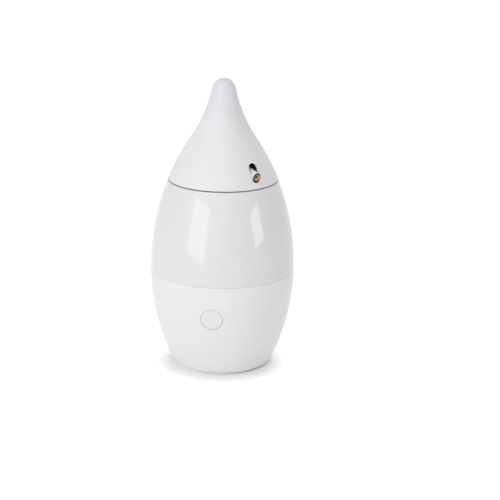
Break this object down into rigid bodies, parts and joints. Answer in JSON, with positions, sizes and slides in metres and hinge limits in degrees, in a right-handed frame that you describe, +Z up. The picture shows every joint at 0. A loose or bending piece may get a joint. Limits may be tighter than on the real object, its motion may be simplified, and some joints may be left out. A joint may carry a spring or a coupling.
{
  "type": "automatic cat laser toy",
  "caption": "Teardrop pet toy whose turning head carries tilting laser modules, on a flat-bottomed battery base with a front push button.",
  "frame": {"origin": "centre of the footprint, on the floor under the rubber feet", "axes": "+Z up through the tip, -Y toward the push button, +X to the right of the button"},
  "size_m": [0.107, 0.107, 0.214],
  "materials": {
    "shell_white": "glossy white moulded plastic",
    "head_white": "satin white moulded plastic",
    "door_white": "satin white",
    "inner_white": "natural white, plain",
    "sleeve_white": "cream white sleeve",
    "brass": "turned brass",
    "copper_brass": "copper-coloured brass",
    "lens_red": "dark red lens",
    "circuit_board": "green solder mask",
    "black_plastic": "black, matte",
    "foot_rubber": "dark grey rubber",
    "cell_jacket": "plain grey cell jacket",
    "steel": "bright zinc-plated steel"
  },
  "bodies": {
    "base": {"base_shell": "shell_white", "mid_shell": "shell_white", "rubber_feet": "foot_rubber", "battery_box": "black_plastic", "battery_cell_1": "cell_jacket", "battery_cell_2": "cell_jacket", "battery_cell_3": "cell_jacket", "battery_cell_4": "cell_jacket", "top_contacts": "steel", "main_board": "circuit_board", "board_screws": "steel", "controller_chip": "black_plastic", "board_parts": "black_plastic", "switch_board": "circuit_board", "switch_board_screws": "steel", "tact_switch": "black_plastic", "drive_deck": "inner_white", "deck_screws": "steel", "bearing_bush": "brass", "thrust_washer": "steel", "gearbox": "brass", "motor_can": "steel", "motor_end_cap": "black_plastic", "motor_clamp": "inner_white", "clamp_screws": "steel", "brush_block": "black_plastic", "brush_springs": "copper_brass"},
    "head": {"head_shell": "head_white", "head_plate": "inner_white", "head_screws": "steel", "ring_gear": "inner_white", "slip_ring_board": "circuit_board", "slip_rings": "brass", "retaining_washer": "steel", "retaining_screw": "steel", "front_bracket": "black_plastic", "rear_bracket": "black_plastic", "bracket_screws": "steel"},
    "output": {"output_shaft": "steel", "output_pinion": "inner_white"},
    "front_laser": {"front_sleeve": "sleeve_white", "front_barrel": "brass", "front_lens_ring": "copper_brass", "front_lens": "lens_red", "front_driver_board": "circuit_board"},
    "rear_laser": {"rear_sleeve": "sleeve_white", "rear_barrel": "brass", "rear_lens_ring": "copper_brass", "rear_lens": "lens_red", "rear_driver_board": "circuit_board"},
    "button": {"button_cap": "shell_white", "switch_plunger": "black_plastic"},
    "door": {"battery_door": "door_white", "door_contacts": "steel", "door_screws": "steel"}
  },
  "joints": [
    {"name": "head_spin", "type": "hinge", "parent": "base", "child": "head", "pos_m": [0, 0, 0.137], "axis": [0, 0, 1], "continuous": true},
    {"name": "output_spin", "type": "hinge", "parent": "base", "child": "output", "pos_m": [0.022, 0, 0.137], "axis": [0, 0, 1], "continuous": true},
    {"name": "front_laser_tilt", "type": "hinge", "parent": "head", "child": "front_laser", "pos_m": [0.01998, -0.01863, 0.1508], "axis": [-0.682, -0.7314, 0], "range_deg": [-1, 29]},
    {"name": "rear_laser_tilt", "type": "hinge", "parent": "head", "child": "rear_laser", "pos_m": [-0.01998, 0.01863, 0.1508], "axis": [0.682, 0.7314, 0], "range_deg": [-1, 29]},
    {"name": "button_press", "type": "slide", "parent": "base", "child": "button", "axis": [0, 1, 0], "range_m": [0, 0.0007], "stiffness_N_per_m": 1500},
    {"name": "battery_door_drop", "type": "slide", "parent": "base", "child": "door", "axis": [0, 0, -1], "range_m": [0, 0.02]}
  ],
  "couplings": [
    {"joint": "output_spin", "follows": "head_spin", "ratio": 4.6667}
  ]
}
